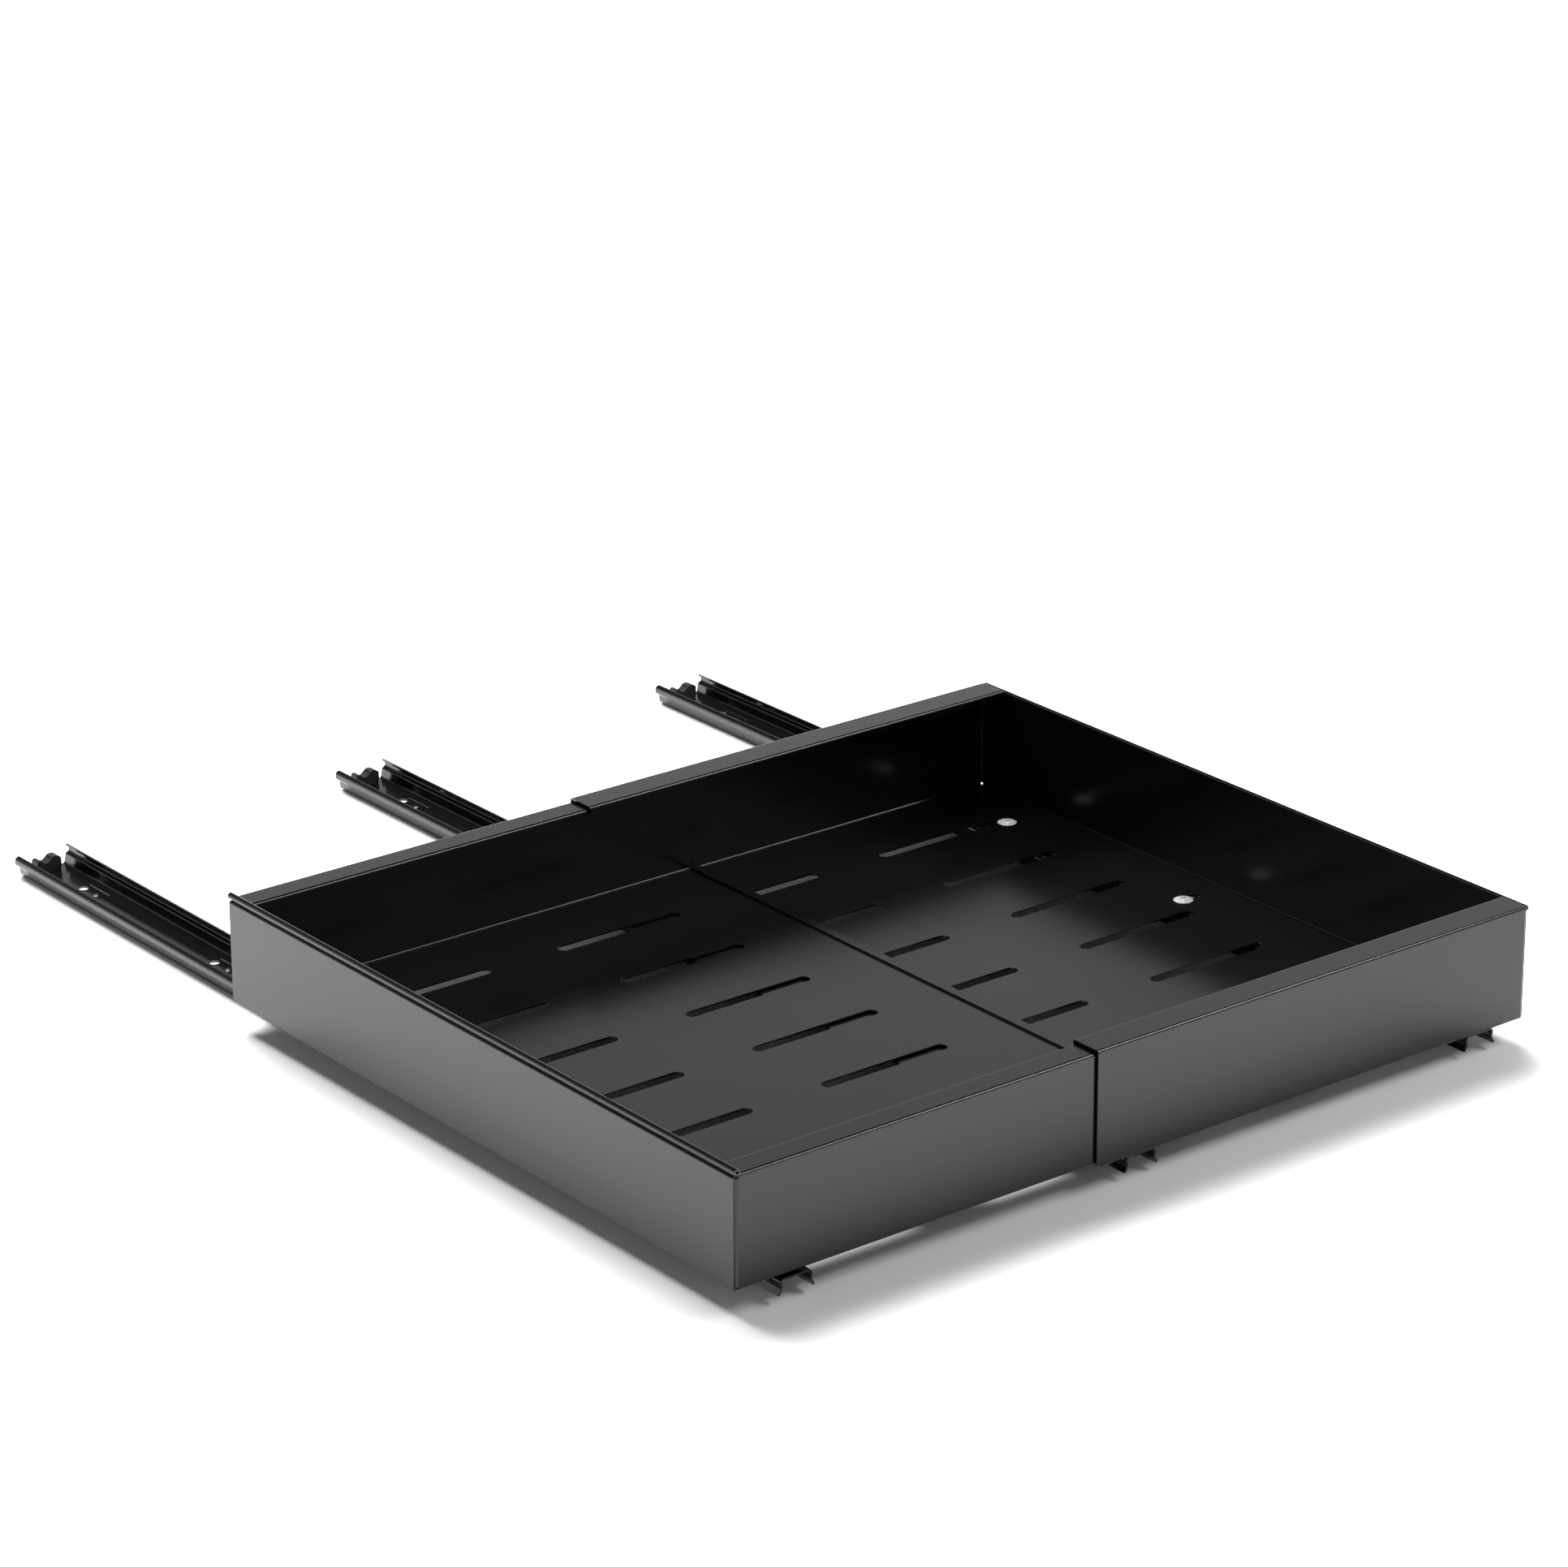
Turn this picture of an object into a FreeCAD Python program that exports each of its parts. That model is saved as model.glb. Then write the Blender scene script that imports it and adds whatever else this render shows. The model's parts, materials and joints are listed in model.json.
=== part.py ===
import FreeCAD, Part

import math
import os

from FreeCAD import Vector

# Widening pull-out drawer on three ball-bearing slides laid flat. Millimetres, +Z up, front towards -Y.
# Drawing datum: x = 0 on the left tray's outer left face, y = 0 on its front face, z = 0 on the surface
# that the rails are screwed to. ORIGIN puts that datum into the part's frame (middle of the footprint).
ORIGIN = Vector(-318.3, -423.0, 0.0)

# Overall
WIDTH = 635.0                 # both trays at their widest
DEPTH = 533.0                 # left tray, front to back
SHEET = 1.2                   # tray and rail steel
BEND = 1.5                    # centreline radius of the tray bends
LIP_BEND = 1.2

# Left (inner) tray
LEFT_FLOOR = 17.5             # underside
LEFT_LIP_TOP = 91.0
LEFT_WALL_END = 370.0         # right end of its front and back walls
LEFT_FLOOR_END = 375.6
LEFT_LIP = 19.0
STRIP_WIDTH = 6.6             # floor edge joggled up to clear the screw heads
STRIP_RISE = 1.4
BEAD_X, BEAD_Z, BEAD_R, BEAD_BORE = 2.4, 92.1, 2.2, 1.0

# Right (outer) tray
RIGHT_FLOOR = 15.5
RIGHT_LIP_TOP = 93.2
RIGHT_FLOOR_START = 277.0
RIGHT_WALL_START = 272.5
RIGHT_FRONT, RIGHT_BACK = -2.0, 535.0
RIGHT_LIP = 23.0
HEM_OUT = 1.6                 # how far the right wall's folded hem stands proud

# Where the side walls end and the end walls begin, measured in from each side
CORNER = 3.2
RIM = 4.7                     # past the left tray's bead

# Floor slots
SLOT_LENGTH, SLOT_WIDTH = 100.0, 9.0
SLOT_ROWS = [51.0 + 70.0 * n for n in range(7)]
LEFT_SLOT_STARTS = [59.5, 215.0]
RIGHT_SLOT_STARTS = [333.0, 488.5]

# Fasteners
SCREW_ROWS = [97.0, 281.0, 465.0]
HEAD_R, HEAD_RISE = 6.8, 1.9
SHANK_R, SHANK_LENGTH = 2.9, 10.0
NUT_FLATS, NUT_HEIGHT = 10.0, 5.0
SPACER_R = 5.0
CLEARANCE_R = 3.25
RIVET_R, RIVET_HEAD_R, RIVET_TAIL_R = 2.1, 3.3, 3.25

# Slides
SLIDE_X = {"left": 44.5, "mid": 310.0, "right": 598.0}
OUTER_FRONT, OUTER_LENGTH = 372.0, 476.0
MIDDLE_FRONT, MIDDLE_LENGTH = 201.0, 360.0
OUTER_CAGE_FRONT, OUTER_CAGE_LENGTH = 406.5, 120.0
INNER_CAGE_FRONT, INNER_CAGE_LENGTH = 235.5, 230.0
OUTER_BALL_R, OUTER_BALL_X, OUTER_BALL_Z, OUTER_BALLS = 1.9, 18.6, 11.6, 6
INNER_BALL_R, INNER_BALL_X, INNER_BALL_Z, INNER_BALLS = 1.2, 13.1, 9.4, 8
BALL_PLAY = 0.3
CAGE_SHEET = 0.4
MIDDLE_SHEET = 1.1

# Outer rail web: a hole group repeated along the rail
GROUP_PITCH = 168.0
MOUNT_HOLES = [OUTER_FRONT + 75.0 + GROUP_PITCH * n for n in range(3)]
HOLE_LINE = 3.0               # the holes sit a little right of the rail's centre
MOUNT_HOLE_R = 2.4
ACCESS_HOLE_R = 3.6
ACCESS_OFFSET = 16.0          # access hole behind each mount hole
SLIT = 1.2

# Half profiles in the X-Z plane: (x, z, centreline bend radius)
OUTER_RAIL = [(17.3, 0.6, 2.5), (18.6, 7.9, 1.0), (21.4, 9.3, 2.2), (21.4, 14.3, 2.2), (18.4, 14.5, 0.0)]
MIDDLE_RAIL = [(15.15, 2.85, 1.8), (15.15, 8.6, 1.0), (15.85, 10.4, 1.0), (15.85, 14.0, 0.0)]
INNER_RAIL = [(11.6, 14.9, 2.0), (10.9, 9.0, 2.5), (12.9, 4.9, 0.0)]
OUTER_CAGE = [(16.55, 1.75, 1.2), (16.55, 8.2, 0.8), (18.6, 9.9, 0.8), (18.6, 13.2, 0.0)]
INNER_CAGE = [(14.05, 3.9, 0.9), (14.05, 6.6, 0.6), (13.1, 8.0, 0.6), (13.1, 11.4, 0.0)]

PLANES = {
    "xz": lambda a, b: Vector(a, 0, b),
    "yz": lambda a, b: Vector(0, a, b),
    "xy": lambda a, b: Vector(a, b, 0),
}


def unit(a, b):
    """Direction from a to b in two dimensions."""
    length = math.hypot(b[0] - a[0], b[1] - a[1])
    return ((b[0] - a[0]) / length, (b[1] - a[1]) / length)


def moved_sideways(points, distance):
    """Corners of a polyline moved to its left by a distance."""
    moved = []
    for i, point in enumerate(points):
        ways = []
        if i > 0:
            ways.append(unit(points[i - 1], point))
        if i < len(points) - 1:
            ways.append(unit(point, points[i + 1]))
        normals = [(-w[1], w[0]) for w in ways]
        nx = sum(n[0] for n in normals)
        ny = sum(n[1] for n in normals)
        share = distance * len(normals) / (nx * nx + ny * ny)
        moved.append((point[0] + nx * share, point[1] + ny * share))
    return moved


def rounded(points, radii, place):
    """Edges of a polyline with an arc at each inner corner."""
    edges = []
    last = points[0]
    for i in range(1, len(points) - 1):
        corner = points[i]
        back = unit(corner, points[i - 1])
        on = unit(corner, points[i + 1])
        half = math.acos(max(-1.0, min(1.0, back[0] * on[0] + back[1] * on[1]))) / 2
        reach = radii[i - 1] / math.tan(half)
        first = (corner[0] + back[0] * reach, corner[1] + back[1] * reach)
        second = (corner[0] + on[0] * reach, corner[1] + on[1] * reach)
        middle_way = unit((0, 0), (back[0] + on[0], back[1] + on[1]))
        bulge = radii[i - 1] / math.sin(half) - radii[i - 1]
        middle = (corner[0] + middle_way[0] * bulge, corner[1] + middle_way[1] * bulge)
        if math.dist(last, first) > 1e-6:
            edges.append(Part.makeLine(place(*last), place(*first)))
        edges.append(Part.Arc(place(*first), place(*middle), place(*second)).toShape())
        last = second
    edges.append(Part.makeLine(place(*last), place(*points[-1])))
    return edges


def turns_left(points, i):
    """True where the polyline turns left at corner i."""
    a = unit(points[i - 1], points[i])
    b = unit(points[i], points[i + 1])
    return a[0] * b[1] - a[1] * b[0] > 0


def folded(plane, points, radii, thickness, start, end):
    """Folded sheet: a centreline of bends in one plane, run from start to end along the plane's normal."""
    place = PLANES[plane]
    sides = []
    for distance in (thickness / 2, -thickness / 2):
        corners = moved_sideways(points, distance)
        bends = [r - distance if turns_left(points, i + 1) else r + distance for i, r in enumerate(radii)]
        sides.append((corners, rounded(corners, bends, place)))
    left, right = sides
    caps = [Part.makeLine(place(*left[0][k]), place(*right[0][k])) for k in (0, -1)]
    edges = Part.sortEdges(left[1] + right[1] + caps)[0]
    face = Part.Face(Part.Wire(edges))
    normal = {"xz": Vector(0, 1, 0), "yz": Vector(1, 0, 0), "xy": Vector(0, 0, 1)}[plane]
    return face.extrude(normal * (end - start)).translated(normal * start)


def box(x0, x1, y0, y1, z0, z1):
    return Part.makeBox(x1 - x0, y1 - y0, z1 - z0, Vector(x0, y0, z0))


def cylinder(x, y, z0, z1, radius):
    return Part.makeCylinder(radius, z1 - z0, Vector(x, y, z0))


def slot_along_x(x0, x1, y, z0, z1, width):
    """Round-ended slot cutter between two outer ends."""
    r = width / 2
    middle = box(x0 + r, x1 - r, y - r, y + r, z0, z1)
    return middle.fuse([cylinder(x0 + r, y, z0, z1, r), cylinder(x1 - r, y, z0, z1, r)])


def fused(shapes):
    """One clean solid from pieces of one sheet."""
    solid = shapes[0].fuse(shapes[1:]).removeSplitter()
    return solid.Solids[0] if len(solid.Solids) == 1 else solid


def mirrored_depth(shape):
    """The same feature at the tray's other end."""
    return shape.mirror(Vector(0, DEPTH / 2, 0), Vector(0, 1, 0))


def end_wall(front, floor, lip_top, lip, drop, x0, x1):
    """Front wall of a tray: bend up from the floor, inward lip, short return."""
    low = floor + SHEET / 2
    top = lip_top - SHEET / 2
    out = front + SHEET / 2
    inner = front + lip - SHEET / 2
    points = [(out + BEND + 0.02, low), (out, low), (out, top), (inner, top), (inner, top - drop)]
    return folded("yz", points, [BEND, LIP_BEND, LIP_BEND], SHEET, x0, x1)


def left_tray():
    low = LEFT_FLOOR + SHEET / 2
    run = BEND + SHEET / 2
    step = LEFT_FLOOR_END - STRIP_WIDTH
    floor = box(run, step + SHEET, run, DEPTH - run, LEFT_FLOOR, LEFT_FLOOR + SHEET)
    raised = LEFT_FLOOR + STRIP_RISE
    strip = box(step, LEFT_FLOOR_END, run, DEPTH - run, raised, raised + SHEET)
    riser = box(step, step + SHEET, run, DEPTH - run, LEFT_FLOOR, raised + SHEET)
    neck = LEFT_LIP_TOP - 2.4
    side = folded("xz", [(run + 0.02, low), (0.6, low), (0.6, neck), (BEAD_X, neck), (BEAD_X, BEAD_Z - 1.5)],
                  [BEND, 0.85, 0.85], SHEET, 1.5, DEPTH - 1.5)
    bead = Part.makeCylinder(BEAD_R, DEPTH, Vector(BEAD_X, 0, BEAD_Z), Vector(0, 1, 0))
    bore = Part.makeCylinder(BEAD_BORE, DEPTH, Vector(BEAD_X, 0, BEAD_Z), Vector(0, 1, 0))
    front = end_wall(0.0, LEFT_FLOOR, LEFT_LIP_TOP, LEFT_LIP, 5.0, CORNER, LEFT_WALL_END)
    tab = folded("xy", [(3.22, 0.6), (1.8, 0.6), (1.8, 16.0)], [1.4], SHEET, LEFT_FLOOR + run, neck - 0.5)
    lip_end = folded("yz", [(1.8, LEFT_LIP_TOP - 0.6), (LEFT_LIP - 0.6, LEFT_LIP_TOP - 0.6),
                            (LEFT_LIP - 0.6, LEFT_LIP_TOP - 5.6)], [LIP_BEND], SHEET, 1.8, 3.25)
    ends = [front, tab, lip_end]
    tray = fused([floor, riser, strip, side, bead] + ends + [mirrored_depth(s) for s in ends])
    cutters = [bore]
    for y in SLOT_ROWS:
        cutters += [slot_along_x(x, x + SLOT_LENGTH, y, 17, 20, SLOT_WIDTH) for x in LEFT_SLOT_STARTS]
    cutters += [cylinder(SLIDE_X["left"], y, 17, 20, CLEARANCE_R) for y in SCREW_ROWS]
    return tray.cut(cutters)


def right_tray():
    low = RIGHT_FLOOR + SHEET / 2
    run = BEND + SHEET / 2
    edge = WIDTH - SHEET / 2
    top = RIGHT_LIP_TOP - SHEET / 2
    floor = box(RIGHT_FLOOR_START, WIDTH - run, RIGHT_FRONT + run, RIGHT_BACK - run,
                RIGHT_FLOOR, RIGHT_FLOOR + SHEET)
    side = folded("xz", [(WIDTH - run - 0.02, low), (edge, low), (edge, top), (edge + HEM_OUT, top),
                         (edge + HEM_OUT, top - 2.9)], [BEND, 0.79, 0.79], SHEET,
                  RIGHT_FRONT + 1.5, RIGHT_BACK - 1.5)
    front = end_wall(RIGHT_FRONT, RIGHT_FLOOR, RIGHT_LIP_TOP, RIGHT_LIP, 5.0, RIGHT_WALL_START, WIDTH - CORNER)
    curl = box(RIGHT_WALL_START - 1, RIGHT_FLOOR_START, RIGHT_FRONT - 1, 2, RIGHT_FLOOR - 1, RIGHT_FLOOR + run)
    tab = folded("xy", [(WIDTH - 3.22, RIGHT_FRONT + 0.6), (WIDTH - 1.8, RIGHT_FRONT + 0.6),
                        (WIDTH - 1.8, RIGHT_FRONT + 16.0)], [1.4], SHEET, RIGHT_FLOOR + run, top - 1.5)
    lip_end = folded("yz", [(RIGHT_FRONT + 1.8, top), (RIGHT_FRONT + RIGHT_LIP - 0.6, top),
                            (RIGHT_FRONT + RIGHT_LIP - 0.6, top - 5.0)], [LIP_BEND], SHEET,
                     WIDTH - 3.25, WIDTH - 1.0)
    ends = [front.cut(curl), tab, lip_end]
    tray = fused([floor, side] + ends + [mirrored_depth(s) for s in ends])
    cutters = []
    for y in SLOT_ROWS:
        cutters += [slot_along_x(x, x + SLOT_LENGTH, y, 15, 18, SLOT_WIDTH) for x in RIGHT_SLOT_STARTS]
    cutters += [cylinder(SLIDE_X["right"], y, 15, 18, CLEARANCE_R) for y in SCREW_ROWS]
    cutters.append(slot_along_x(590.0, 612.0, SCREW_ROWS[1], 15, 18, 7.0))
    cutters += [cylinder(SLIDE_X["mid"], y, 15, 18, RIVET_R) for y in SCREW_ROWS]
    cutters += [Part.makeCone(RIVET_R, RIVET_HEAD_R, SHEET, Vector(SLIDE_X["mid"], y, RIGHT_FLOOR))
                for y in SCREW_ROWS]
    return tray.cut(cutters)


def butted(tray, outside, corner, rim, inside, front, back, lip_top):
    """A folded tray as solids butted along its bends: side, rim, ends, lips, turned-down edges and floor."""
    run = BEND + SHEET / 2
    under = lip_top - LIP_BEND - SHEET / 2
    top = lip_top + 10
    middle = (front + back) / 2
    cells = [
        (outside, corner, front, back, 0, under),
        (outside, rim, front, back, under, top),
        (corner, inside, front, front + run, 0, under),
        (corner, inside, back - run, back, 0, under),
        (rim, inside, front, middle, under, top),
        (rim, inside, middle, back, under, top),
        (corner, inside, front + run, back - run, 0, under),
    ]
    solids = []
    for xa, xb, y0, y1, z0, z1 in cells:
        solids += tray.common(box(min(xa, xb), max(xa, xb), y0, y1, z0, z1)).Solids
    return Part.makeCompound(solids)


def channel(x, profile, thickness, start, length):
    """Symmetric channel of a slide from its half profile."""
    left = [(x - px, pz) for px, pz, _ in reversed(profile)]
    right = [(x + px, pz) for px, pz, _ in profile]
    bends = [r for _, _, r in profile[:-1]]
    return folded("xz", left + right, bends[::-1] + bends, thickness, start, start + length)


def outer_rail(x):
    rail = channel(x, OUTER_RAIL, SHEET, OUTER_FRONT, OUTER_LENGTH)
    cutters = []
    for y in MOUNT_HOLES:
        cutters.append(cylinder(x + HOLE_LINE, y, -1, 3, MOUNT_HOLE_R))
        cutters.append(cylinder(x + HOLE_LINE, y + ACCESS_OFFSET, -1, 3, ACCESS_HOLE_R))
        cutters.append(box(x + 10.4 - SLIT, x + 10.4, y - 7, y + 22, -1, 3))
        cutters.append(box(x - 0.5, x + 10.4, y - 7, y - 7 + SLIT, -1, 3))
    return rail.cut(cutters)


def inner_rail(x, hole_r):
    rail = channel(x, INNER_RAIL, SHEET, 0.0, DEPTH)
    return rail.cut([cylinder(x, y, 14, 16, hole_r) for y in SCREW_ROWS])


def ball_rows(front, length, count):
    pitch = length / count
    return [front + pitch * (n + 0.5) for n in range(count)]


def cage(x, profile, front, length, rows, radius, cut_above, cut_beyond):
    """Ball retainer: a thin channel whose upright edges have a pocket for each ball."""
    strip = channel(x, profile, CAGE_SHEET, front, length)
    pockets = []
    for y in rows:
        for side in (-1, 1):
            x0, x1 = sorted((x + side * cut_beyond, x + side * 25))
            pockets.append(box(x0, x1, y - radius - BALL_PLAY, y + radius + BALL_PLAY, cut_above, 16))
    return strip.cut(pockets)


def balls(x, half_gauge, z, radius, rows):
    return Part.Compound([Part.makeSphere(radius, Vector(x + side * half_gauge, y, z))
                          for side in (-1, 1) for y in rows])


def bumper(x):
    """Rubber stop at the rear of an outer rail, wavy on top."""
    y0 = OUTER_FRONT + OUTER_LENGTH - 9.0
    place = PLANES["xz"]
    wave = Part.BSplineCurve()
    wave.interpolate([place(px, pz) for px, pz in [(-9.5, 9.2), (-8.3, 10.9), (-6.4, 10.9), (-4.2, 9.0),
                                                   (-1.6, 8.4), (0.8, 10.0), (3.2, 11.8), (6.6, 11.9), (9.6, 9.8)]])
    corners = [(9.6, 9.8), (9.6, 4.6), (8.8, 1.2), (-8.8, 1.2), (-9.5, 4.6), (-9.5, 9.2)]
    sides = [Part.makeLine(place(*a), place(*b)) for a, b in zip(corners, corners[1:])]
    face = Part.Face(Part.Wire([wave.toShape()] + sides))
    block = face.extrude(Vector(0, 8, 0)).translated(Vector(x, y0, 0))
    groove = box(x + 1.4, x + 2.4, y0 + 1.5, y0 + 6.5, 9.6, 14)
    return block.cut(groove)


def screws(x, seat):
    """Low mushroom-head screws standing on a floor, with a hexagon recess."""
    solids = []
    sphere_r = (HEAD_R ** 2 + HEAD_RISE ** 2) / (2 * HEAD_RISE)
    for y in SCREW_ROWS:
        dome = Part.makeSphere(sphere_r, Vector(x, y, seat + HEAD_RISE - sphere_r))
        head = dome.common(cylinder(x, y, seat, seat + HEAD_RISE + 1, HEAD_R))
        shank = cylinder(x, y, seat - SHANK_LENGTH, seat + 0.2, SHANK_R)
        recess = hexagon(x, y, seat + 0.3, seat + 4, 4.0)
        solids.append(head.fuse(shank).removeSplitter().cut(recess).Solids[0])
    return Part.Compound(solids)


def hexagon(x, y, z0, z1, flats):
    r = flats / math.sqrt(3)
    corners = [Vector(x + r * math.cos(math.radians(a)), y + r * math.sin(math.radians(a)), z0)
               for a in range(30, 391, 60)]
    return Part.Face(Part.makePolygon(corners)).extrude(Vector(0, 0, z1 - z0))


def nuts(x):
    top = INNER_RAIL[0][1] - SHEET / 2
    return Part.Compound([hexagon(x, y, top - NUT_HEIGHT, top, NUT_FLATS).cut(cylinder(x, y, 5, 16, SHANK_R))
                          for y in SCREW_ROWS])


def spacers(x):
    return Part.Compound([cylinder(x, y, RIGHT_FLOOR, LEFT_FLOOR, SPACER_R).cut(cylinder(x, y, 15, 18, SHANK_R))
                          for y in SCREW_ROWS])


def rivets(x):
    solids = []
    web = INNER_RAIL[0][1] - SHEET / 2
    for y in SCREW_ROWS:
        head = Part.makeCone(RIVET_R, RIVET_HEAD_R, SHEET, Vector(x, y, RIGHT_FLOOR))
        shank = cylinder(x, y, web - 1.5, RIGHT_FLOOR + 0.5, RIVET_R)
        tail = cylinder(x, y, web - 1.5, web, RIVET_TAIL_R)
        solids.append(head.fuse([shank, tail]).removeSplitter().Solids[0])
    return Part.Compound(solids)


def main():
    os.makedirs("parts", exist_ok=True)
    nodes = {
        "left_tray": butted(left_tray(), -10, CORNER, RIM, LEFT_FLOOR_END + 10, 0, DEPTH, LEFT_LIP_TOP),
        "right_tray": butted(right_tray(), WIDTH + 10, WIDTH - CORNER, WIDTH - CORNER, RIGHT_WALL_START - 10,
                             RIGHT_FRONT, RIGHT_BACK, RIGHT_LIP_TOP),
        "left_screws": screws(SLIDE_X["left"], LEFT_FLOOR + SHEET),
        "right_screws": screws(SLIDE_X["right"], RIGHT_FLOOR + SHEET),
        "left_nuts": nuts(SLIDE_X["left"]),
        "right_nuts": nuts(SLIDE_X["right"]),
        "left_spacers": spacers(SLIDE_X["left"]),
        "mid_rivets": rivets(SLIDE_X["mid"]),
    }
    outer_rows = ball_rows(OUTER_CAGE_FRONT, OUTER_CAGE_LENGTH, OUTER_BALLS)
    inner_rows = ball_rows(INNER_CAGE_FRONT, INNER_CAGE_LENGTH, INNER_BALLS)
    for name, x in SLIDE_X.items():
        nodes[name + "_outer_rail"] = outer_rail(x)
        nodes[name + "_middle_rail"] = channel(x, MIDDLE_RAIL, MIDDLE_SHEET, MIDDLE_FRONT, MIDDLE_LENGTH)
        nodes[name + "_inner_rail"] = inner_rail(x, RIVET_R if name == "mid" else CLEARANCE_R)
        nodes[name + "_outer_cage"] = cage(x, OUTER_CAGE, OUTER_CAGE_FRONT, OUTER_CAGE_LENGTH,
                                           outer_rows, OUTER_BALL_R, 9.3, 17.2)
        nodes[name + "_inner_cage"] = cage(x, INNER_CAGE, INNER_CAGE_FRONT, INNER_CAGE_LENGTH,
                                           inner_rows, INNER_BALL_R, 7.8, 12.0)
        nodes[name + "_outer_balls"] = balls(x, OUTER_BALL_X, OUTER_BALL_Z, OUTER_BALL_R, outer_rows)
        nodes[name + "_inner_balls"] = balls(x, INNER_BALL_X, INNER_BALL_Z, INNER_BALL_R, inner_rows)
        nodes[name + "_bumper"] = bumper(x)
    for name, shape in nodes.items():
        shape.translated(ORIGIN).exportStep("parts/" + name + ".step")


main()
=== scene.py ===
import json
import math

import bpy
from mathutils import Matrix, Vector

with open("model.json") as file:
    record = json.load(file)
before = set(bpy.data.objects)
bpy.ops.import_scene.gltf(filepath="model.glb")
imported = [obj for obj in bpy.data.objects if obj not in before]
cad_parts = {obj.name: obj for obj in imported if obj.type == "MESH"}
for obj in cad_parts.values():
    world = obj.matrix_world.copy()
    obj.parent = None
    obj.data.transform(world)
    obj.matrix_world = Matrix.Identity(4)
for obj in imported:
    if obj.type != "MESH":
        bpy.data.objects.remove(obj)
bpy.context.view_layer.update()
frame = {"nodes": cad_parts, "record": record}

NODES = frame["nodes"]

FLOOR_HALF_SIZE = 14.0        # metres
FLOOR_DROP = 0.0002
SKY_STRENGTH = 1.1
SKY_STOPS = ((0.0, 1.0), (0.27, 0.85), (0.44, 0.42), (0.62, 0.08), (1.0, 0.04))
CAMERA_PLACE = (-1.9620, -2.5807, 1.3721)
CAMERA_BACK = (-0.57366, -0.73625, 0.35893)
CAMERA_ROLL = -0.3259         # degrees
CAMERA_LENS = 121.2           # millimetres, on a 36 mm wide sensor


# ---------------------------------------------------------------- materials

class Graph:
    """A material's node tree, built a node at a time."""

    def __init__(self, name, color, metallic, roughness, **inputs):
        self.material = bpy.data.materials.new(name)
        self.material.use_nodes = True
        self.tree = self.material.node_tree
        self.tree.nodes.clear()
        self.output = self.tree.nodes.new("ShaderNodeOutputMaterial")
        self.shader = self.tree.nodes.new("ShaderNodeBsdfPrincipled")
        self.link(self.shader.outputs["BSDF"], self.output.inputs["Surface"])
        self.shader.inputs["Base Color"].default_value = (*color, 1)
        self.shader.inputs["Metallic"].default_value = metallic
        self.shader.inputs["Roughness"].default_value = roughness
        for key, value in inputs.items():
            self.shader.inputs[key.replace("_", " ")].default_value = value
        self.place = self.node("ShaderNodeTexCoord").outputs["Object"]
        self.material.diffuse_color = (*color, 1)

    def node(self, kind, **settings):
        made = self.tree.nodes.new(kind)
        for key, value in settings.items():
            setattr(made, key, value)
        return made

    def link(self, source, target):
        self.tree.links.new(source, target)

    def noise(self, scale, detail=2.0, rough=0.5, stretch=(1, 1, 1)):
        """Noise in object space, scale in features per metre."""
        mapping = self.node("ShaderNodeMapping")
        mapping.inputs["Scale"].default_value = stretch
        self.link(self.place, mapping.inputs["Vector"])
        noise = self.node("ShaderNodeTexNoise")
        noise.inputs["Scale"].default_value = scale
        noise.inputs["Detail"].default_value = detail
        noise.inputs["Roughness"].default_value = rough
        self.link(mapping.outputs["Vector"], noise.inputs["Vector"])
        return noise.outputs["Fac"]

    def span(self, value, low, high, to_low, to_high):
        """value mapped from low..high to to_low..to_high, held at the ends."""
        mapped = self.node("ShaderNodeMapRange")
        self.link(value, mapped.inputs["Value"])
        limits = {"From Min": low, "From Max": high, "To Min": to_low, "To Max": to_high}
        for key, number in limits.items():
            mapped.inputs[key].default_value = number
        return mapped.outputs["Result"]

    def math(self, kind, a, b):
        made = self.node("ShaderNodeMath", operation=kind)
        for socket, value in zip(made.inputs, (a, b)):
            if isinstance(value, (int, float)):
                socket.default_value = value
            else:
                self.link(value, socket)
        return made.outputs["Value"]

    def mix(self, factor, a, b):
        """Colour a to colour b by factor; each colour is a tuple or a socket."""
        made = self.node("ShaderNodeMix", data_type="RGBA")
        self.link(factor, made.inputs["Factor"])
        for socket, value in ((made.inputs["A"], a), (made.inputs["B"], b)):
            if isinstance(value, tuple):
                socket.default_value = (*value, 1)
            else:
                self.link(value, socket)
        return made.outputs["Result"]

    def worn_edges(self, reach):
        """About 1 on outer edges and 0 on flats, broken up by noise."""
        bevel = self.node("ShaderNodeBevel", samples=4)
        bevel.inputs["Radius"].default_value = reach
        flat = self.node("ShaderNodeNewGeometry")
        dot = self.node("ShaderNodeVectorMath", operation="DOT_PRODUCT")
        self.link(bevel.outputs["Normal"], dot.inputs[0])
        self.link(flat.outputs["Normal"], dot.inputs[1])
        edge = self.span(dot.outputs["Value"], 0.75, 0.98, 1.0, 0.0)
        return self.math("MULTIPLY", edge, self.span(self.noise(180, 3), 0.35, 0.65, 0.3, 1.0))

    def bump(self, height, distance, strength=1.0):
        bump = self.node("ShaderNodeBump")
        bump.inputs["Distance"].default_value = distance
        bump.inputs["Strength"].default_value = strength
        self.link(height, bump.inputs["Height"])
        self.link(bump.outputs["Normal"], self.shader.inputs["Normal"])

    def color(self, socket):
        self.link(socket, self.shader.inputs["Base Color"])

    def roughness(self, socket):
        self.link(socket, self.shader.inputs["Roughness"])


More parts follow.
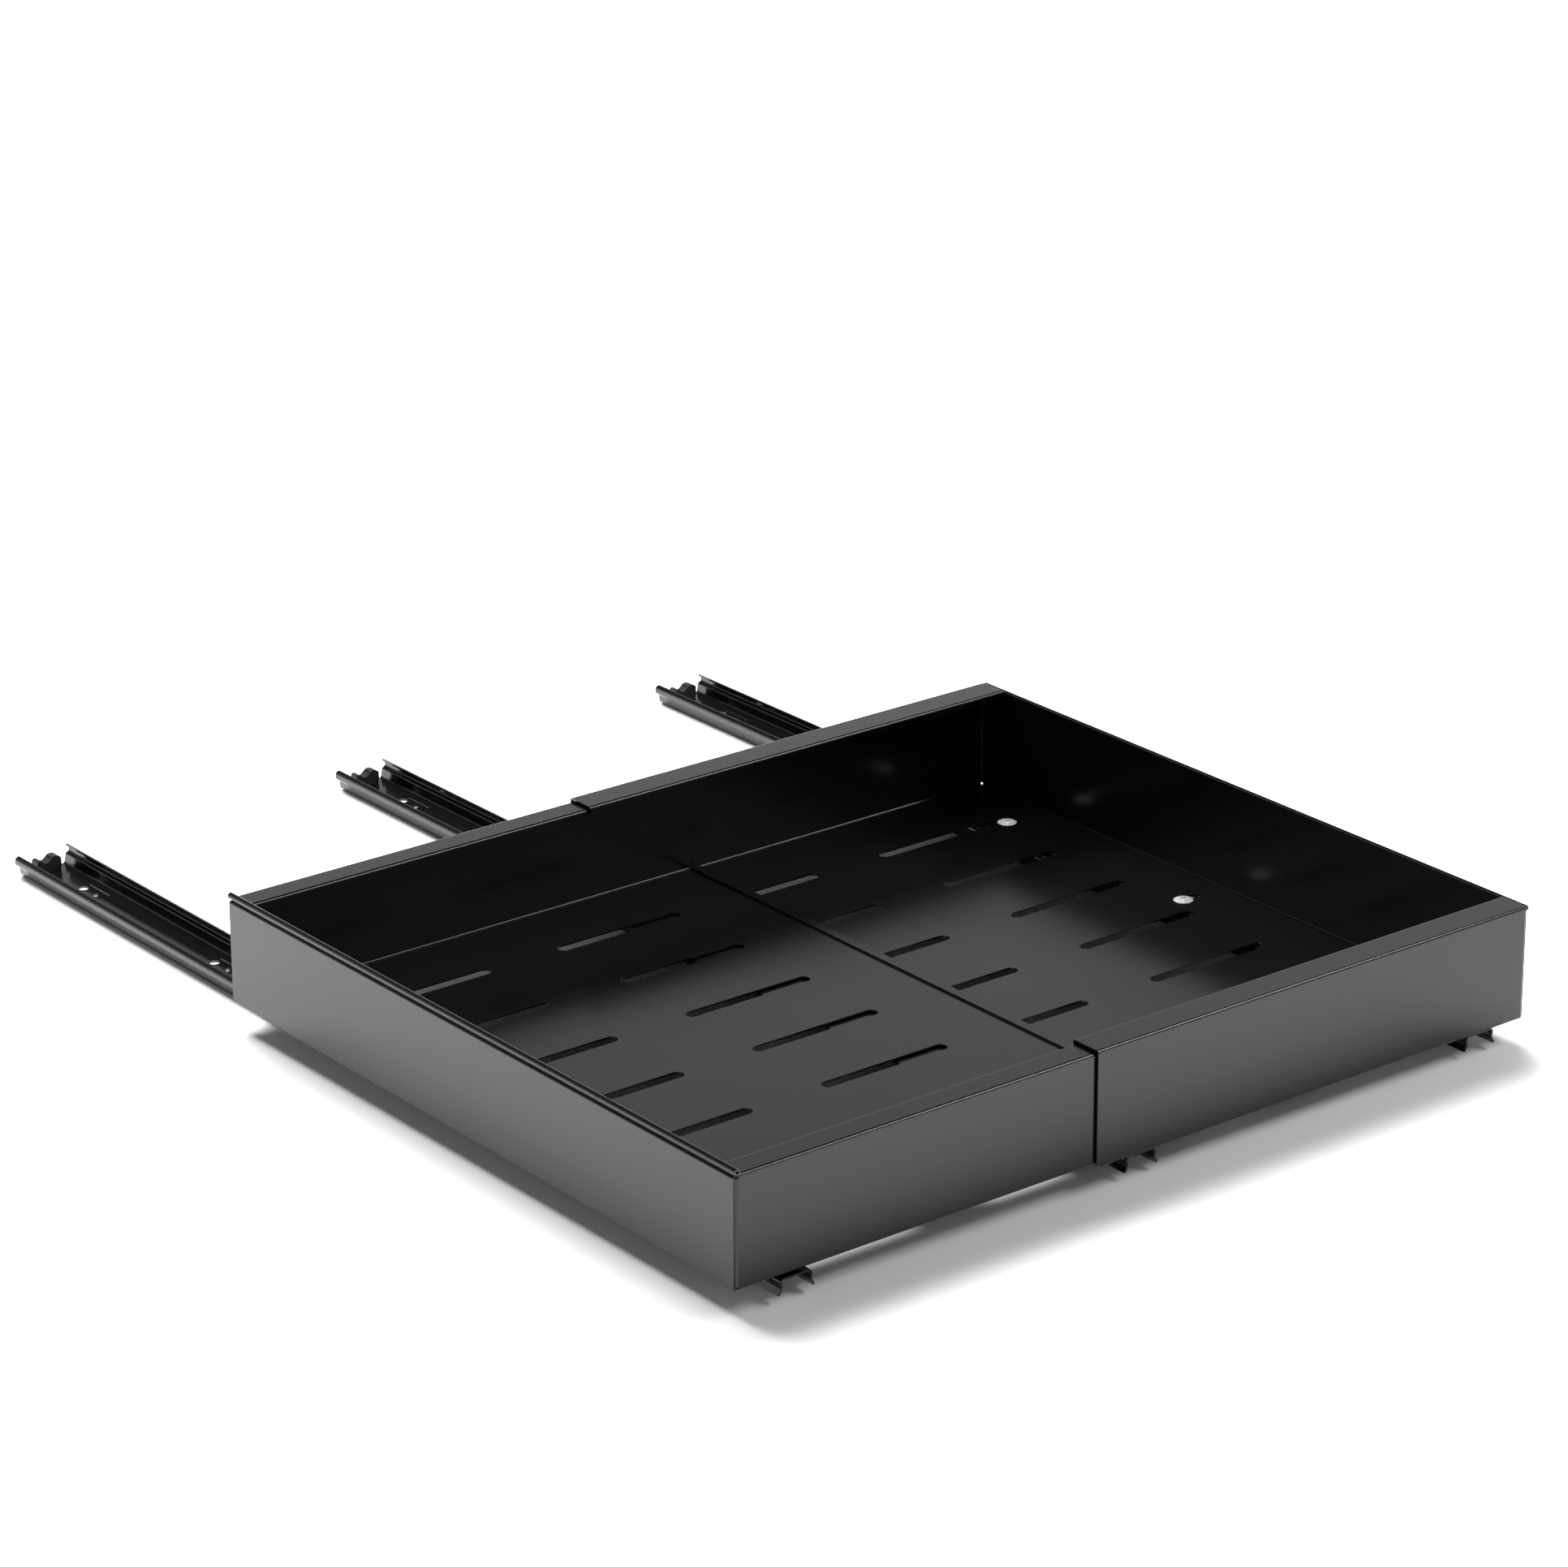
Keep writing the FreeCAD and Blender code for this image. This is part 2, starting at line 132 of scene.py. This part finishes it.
def powder_coat():
    """Satin black powder coat: fine orange peel, faint mottling, edges rubbed a little lighter."""
    g = Graph("powder_coat", (0.012, 0.012, 0.013), 0.0, 0.42, IOR=1.5)
    mottle = g.noise(9, 3)
    base = g.mix(g.span(mottle, 0.3, 0.7, 0.0, 1.0), (0.0009, 0.0009, 0.0010), (0.0017, 0.0017, 0.0018))
    g.color(g.mix(g.worn_edges(0.0004), base, (0.0042, 0.0042, 0.0044)))
    fine = g.noise(1500, 2, 0.6)
    peel = g.noise(420, 2, 0.5)
    g.roughness(g.math("ADD", g.span(mottle, 0.3, 0.7, 0.15, 0.19), g.span(fine, 0.3, 0.7, 0.0, 0.05)))
    g.bump(g.math("ADD", peel, g.math("MULTIPLY", fine, 0.5)), 0.00006, 0.35)
    return g.material


def slide_black():
    """Glossy black coat on rolled steel, with faint streaks along the rail."""
    g = Graph("slide_black", (0.014, 0.014, 0.015), 0.0, 0.16, IOR=1.5)
    streak = g.noise(60, 4, 0.6, (8, 0.35, 8))
    base = g.mix(g.span(streak, 0.35, 0.65, 0.0, 1.0), (0.0012, 0.0012, 0.0013), (0.0024, 0.0024, 0.0025))
    g.color(g.mix(g.worn_edges(0.0004), base, (0.014, 0.014, 0.0145)))
    g.roughness(g.span(streak, 0.3, 0.7, 0.12, 0.17))
    g.bump(g.noise(900, 2, 0.5, (3, 0.3, 3)), 0.00003, 0.3)
    return g.material


def zinc():
    """Bright zinc plate with soft rolling marks."""
    g = Graph("steel_bright", (0.56, 0.57, 0.58), 1.0, 0.3)
    grain = g.noise(240, 4, 0.65, (5, 0.4, 5))
    g.color(g.mix(g.span(grain, 0.3, 0.7, 0.0, 1.0), (0.46, 0.47, 0.49), (0.66, 0.66, 0.65)))
    g.roughness(g.span(grain, 0.3, 0.7, 0.22, 0.4))
    g.bump(grain, 0.00002, 0.4)
    return g.material


def nickel():
    """Nickel plate on a screw head, with the faint marks a driver leaves."""
    g = Graph("screw_plate", (0.72, 0.71, 0.70), 0.62, 0.2)
    smear = g.noise(700, 3, 0.6)
    g.color(g.mix(g.span(smear, 0.3, 0.7, 0.0, 1.0), (0.60, 0.59, 0.58), (0.80, 0.79, 0.77)))
    g.roughness(g.span(smear, 0.3, 0.7, 0.14, 0.32))
    g.bump(g.noise(2200, 2), 0.00002, 0.4)
    return g.material


def rubber():
    """Matte moulded rubber."""
    g = Graph("bumper_rubber", (0.016, 0.016, 0.016), 0.0, 0.62)
    speck = g.noise(1300, 3, 0.6)
    g.color(g.mix(g.span(speck, 0.3, 0.7, 0.0, 1.0), (0.011, 0.011, 0.011), (0.028, 0.028, 0.028)))
    g.roughness(g.span(g.noise(300, 2), 0.3, 0.7, 0.5, 0.75))
    g.bump(speck, 0.00012, 0.5)
    return g.material


def pale_floor():
    g = Graph("pale_floor", (0.86, 0.86, 0.86), 0.0, 0.75)
    tone = g.noise(1.2, 2)
    g.color(g.mix(g.span(tone, 0.3, 0.7, 0.0, 1.0), (0.855, 0.855, 0.855), (0.865, 0.865, 0.865)))
    return g.material


def dress():
    """Gives every CAD node its material."""
    coats = {"powder_coat": powder_coat(), "slide_black": slide_black(), "steel_bright": zinc(),
             "screw_plate": nickel(), "bumper_rubber": rubber()}
    slots = {part["node"]: part["material_slot"] for part in frame["record"]["subparts"]}
    for name, node in NODES.items():
        node.data.materials.clear()
        node.data.materials.append(coats[slots[name]])


# ---------------------------------------------------------------- studio

def area_light(name, place, aim, width, depth, power):
    """Rectangular white light at a place, turned to face a point; metres and watts."""
    data = bpy.data.lights.new(name, "AREA")
    data.shape = "RECTANGLE"
    data.size, data.size_y = width, depth
    data.energy = power
    light = bpy.data.objects.new(name, data)
    bpy.context.scene.collection.objects.link(light)
    light.location = place
    light.rotation_euler = (Vector(aim) - Vector(place)).to_track_quat("-Z", "Y").to_euler()
    return light


def floor():
    """Flat studio floor, a hair under the rails so that the two faces don't coincide."""
    half = FLOOR_HALF_SIZE
    mesh = bpy.data.meshes.new("studio_floor")
    corners = [(-half, -half, 0), (half, -half, 0), (half, half, 0), (-half, half, 0)]
    mesh.from_pydata(corners, [], [(0, 1, 2, 3)])
    plane = bpy.data.objects.new("studio_floor", mesh)
    bpy.context.scene.collection.objects.link(plane)
    plane.location.z = -FLOOR_DROP
    mesh.materials.append(pale_floor())
    return plane


def sky():
    """Light that fades upwards from bright to dim, as inside a white cove with a dark ceiling."""
    world = bpy.data.worlds.new("studio")
    bpy.context.scene.world = world
    world.use_nodes = True
    tree = world.node_tree
    background = tree.nodes["Background"]
    where = tree.nodes.new("ShaderNodeTexCoord")
    split = tree.nodes.new("ShaderNodeSeparateXYZ")
    ramp = tree.nodes.new("ShaderNodeValToRGB")
    tree.links.new(where.outputs["Generated"], split.inputs["Vector"])
    tree.links.new(split.outputs["Z"], ramp.inputs["Fac"])
    tree.links.new(ramp.outputs["Color"], background.inputs["Color"])
    ramp.color_ramp.elements[1].position = SKY_STOPS[1][0]
    for _ in SKY_STOPS[2:]:
        ramp.color_ramp.elements.new(1.0)
    for element, (position, value) in zip(ramp.color_ramp.elements, SKY_STOPS):
        element.position = position
        element.color = (value, value, value, 1)
    background.inputs["Strength"].default_value = SKY_STRENGTH


def studio():
    """A large key light behind the drawer, and a thin strip in front that draws a line along the top bends."""
    sky()
    key = area_light("key", (0.38, 1.45, 2.5), (0.0, 0.1, 0.0), 2.7, 2.1, 325)
    key.visible_glossy = False
    strip = area_light("strip", (1.45, -1.35, 1.9), (0.0, -0.4, 0.08), 1.6, 0.3, 30)
    floor()


def camera():
    """View from the front left, 21 degrees down, with a hair of roll."""
    back = Vector(CAMERA_BACK).normalized()
    level = Vector((0, 0, 1)).cross(back).normalized()
    up = back.cross(level)
    roll = math.radians(CAMERA_ROLL)
    right = level * math.cos(roll) + up * math.sin(roll)
    up = back.cross(right)
    data = bpy.data.cameras.new("camera")
    data.sensor_fit = "HORIZONTAL"
    data.sensor_width = 36.0
    data.lens = CAMERA_LENS
    data.clip_end = 60.0
    view = bpy.data.objects.new("camera", data)
    bpy.context.scene.collection.objects.link(view)
    view.matrix_world = Matrix((right, up, back)).transposed().to_4x4()
    view.location = CAMERA_PLACE
    bpy.context.scene.camera = view


dress()
studio()
camera()
bpy.context.scene.view_settings.view_transform = "Standard"
